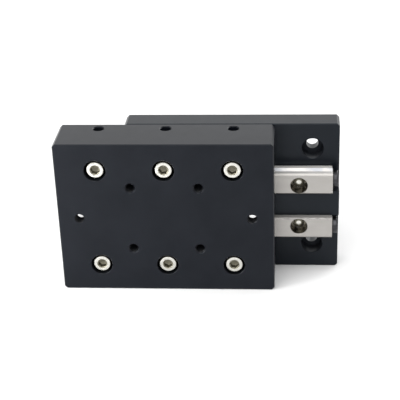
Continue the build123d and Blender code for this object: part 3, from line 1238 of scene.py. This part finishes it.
def cad_dresses() -> list[CadDress]:
    """Finishes of the CAD nodes that keep their shape.

    Returns:
        The dresses, in the order in which they are made.
    """
    inner_bores = BoreRow(first=-25 * MM, pitch=25 * MM, height=8.5 * MM, radius=3.12 * MM,
                          mouth=-17.4 * MM, depth=3.15 * MM)
    outer_bores = replace(inner_bores, first=-49 * MM, height=19.5 * MM, mouth=-9.4 * MM)
    mounting_bores = BoreRow(first=-30 * MM, pitch=60 * MM, height=20 * MM, radius=4.02 * MM,
                             mouth=-9.2 * MM, depth=5.4 * MM)
    head_bores = BoreRow(first=-49 * MM, pitch=25 * MM, height=19.5 * MM, radius=4.02 * MM,
                         mouth=-28 * MM, depth=4.8 * MM)
    taps = BoreRow(first=-36.5 * MM, pitch=25 * MM, height=12.5 * MM, radius=1.7 * MM,
                   mouth=-28 * MM, depth=10 * MM)
    pin_bores = BoreRow(first=-56 * MM, pitch=64 * MM, height=0.0, radius=1.79 * MM,
                        mouth=-28 * MM, depth=4.2 * MM)
    base_black = AnodisedBlack("base_anodised", mounting_bores, bored=(0.018, 0.02, 0.024),
                               level_square_on=0.2, shine_tint=(0.86, 0.94, 1.0))
    table_black = AnodisedBlack("table_anodised", head_bores, (taps, pin_bores))
    inner_steel = RailSteel("inner_rail_ground", (0.365, 0.35, 0.332), (0.42, 0.405, 0.386),
                            smooth=0.36, rough=0.48, stroke_depth=0.003 * MM, holes=inner_bores)
    outer_steel = replace(inner_steel, name="outer_rail_ground", holes=outer_bores)
    roller_steel = GroundSteel("roller_lapped", (0.72, 0.72, 0.72), (0.8, 0.8, 0.8),
                               smooth=0.08, rough=0.16, stroke_depth=0.0002 * MM,
                               strokes=replace(GroundSteel.strokes, stretch=(1.0, 1.0, 1.0)))
    cage_sheet = GroundSteel("cage_rolled", (0.62, 0.62, 0.63), (0.7, 0.7, 0.71), smooth=0.28, rough=0.42)
    milled = GroundSteel("stop_block_milled", (0.4, 0.4, 0.39), (0.48, 0.48, 0.47), smooth=0.3, rough=0.42)
    oxide = GroundSteel("stop_block_screw_oxide", (0.035, 0.035, 0.037), (0.06, 0.06, 0.062),
                        smooth=0.32, rough=0.46)
    return [
        CadDress(base_black, ("base_block",)),
        CadDress(table_black, ("table_block",)),
        CadDress(inner_steel, ("base_rail_upper", "base_rail_lower")),
        CadDress(outer_steel, ("table_rail_upper", "table_rail_lower")),
        CadDress(roller_steel, ("roller_*",)),
        CadDress(cage_sheet, ("cage_*",)),
        CadDress(milled, ("stop_block",)),
        CadDress(oxide, ("stop_block_screw",)),
    ]


def fasteners() -> list[Fasteners]:
    """The finer fasteners.

    Returns:
        Each kind, in the order in which they are made.
    """
    bright = TurnedSteel("stainless_turned", (0.57, 0.56, 0.52), (0.7, 0.69, 0.64), smooth=0.2, rough=0.3)
    # socket finish: rougher as punch-formed, its dark colour painted shade; the tip's cone takes it too
    punched_painted_shade = TurnedSteel("socket_punched_painted_shade", (0.16, 0.15, 0.115), (0.28, 0.265, 0.21),
                          smooth=0.42, rough=0.56)
    # painted shade: black colour on the head's side and edge, standing in for the counterbore's shade
    painted_shade = TurnedSteel("head_side_painted_shade", (0.02, 0.019, 0.016), (0.05, 0.047, 0.04),
                          smooth=0.4, rough=0.55)
    plain = TurnedSteel("stop_screw_steel", (0.03, 0.03, 0.033), (0.062, 0.062, 0.067),
                        smooth=0.26, rough=0.36)
    oxide = TurnedSteel("black_oxide", (0.035, 0.035, 0.037), (0.06, 0.06, 0.062),
                        smooth=0.32, rough=0.46)
    ground = TurnedSteel("pin_ground", (0.84, 0.84, 0.84), (0.92, 0.92, 0.92), smooth=0.12, rough=0.2)
    numbers = (1, 2, 3)
    cap_turn, cap_row_turn, slot_row_turn, preload_turn = 17.0, 29.0, 50.0, 23.0
    slots = (("left", Facing.LEFT, 115.0), ("right", Facing.RIGHT, 135.0))
    cap_seats, stop_seats = [], []
    for body, facing in ((Body.TABLE, Facing.FRONT), (Body.BASE, Facing.BACK)):
        sockets = [(str(number), facing, cap_turn * number) for number in numbers]
        cap_seats += rail_seats("{}_rail_screw_{}_{}", body, sockets, cap_row_turn)
        stop_seats += rail_seats("stop_screw_{}_{}_{}", body, slots, slot_row_turn)
    preload_seats = [
        Seat(f"preload_screw_{number}", Body.TABLE, Facing.UP, preload_turn * number) for number in numbers
    ]
    pin_seats = [Seat(f"stop_pin_{end}", Body.TABLE, Facing.FRONT) for end in ("left", "right")]
    return [
        CapScrews((bright, punched_painted_shade, painted_shade), Slot.CAP_SCREW, cap_seats),
        PreloadScrews((oxide,), Slot.DARK_SCREW, preload_seats),
        StopScrews((plain,), Slot.DARK_SCREW, stop_seats),
        StopPins((ground,), Slot.PIN, pin_seats),
    ]


def main() -> None:
    """Build the sub-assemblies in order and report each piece."""
    logging.basicConfig(level=logging.INFO, format="%(message)s")
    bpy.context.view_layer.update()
    Studio().build()
    for assembly in (*cad_dresses(), *fasteners()):
        for piece in assembly.build():
            log.info("%s: %s", type(assembly).__name__, piece.name)


if __name__ == "__main__":
    main()
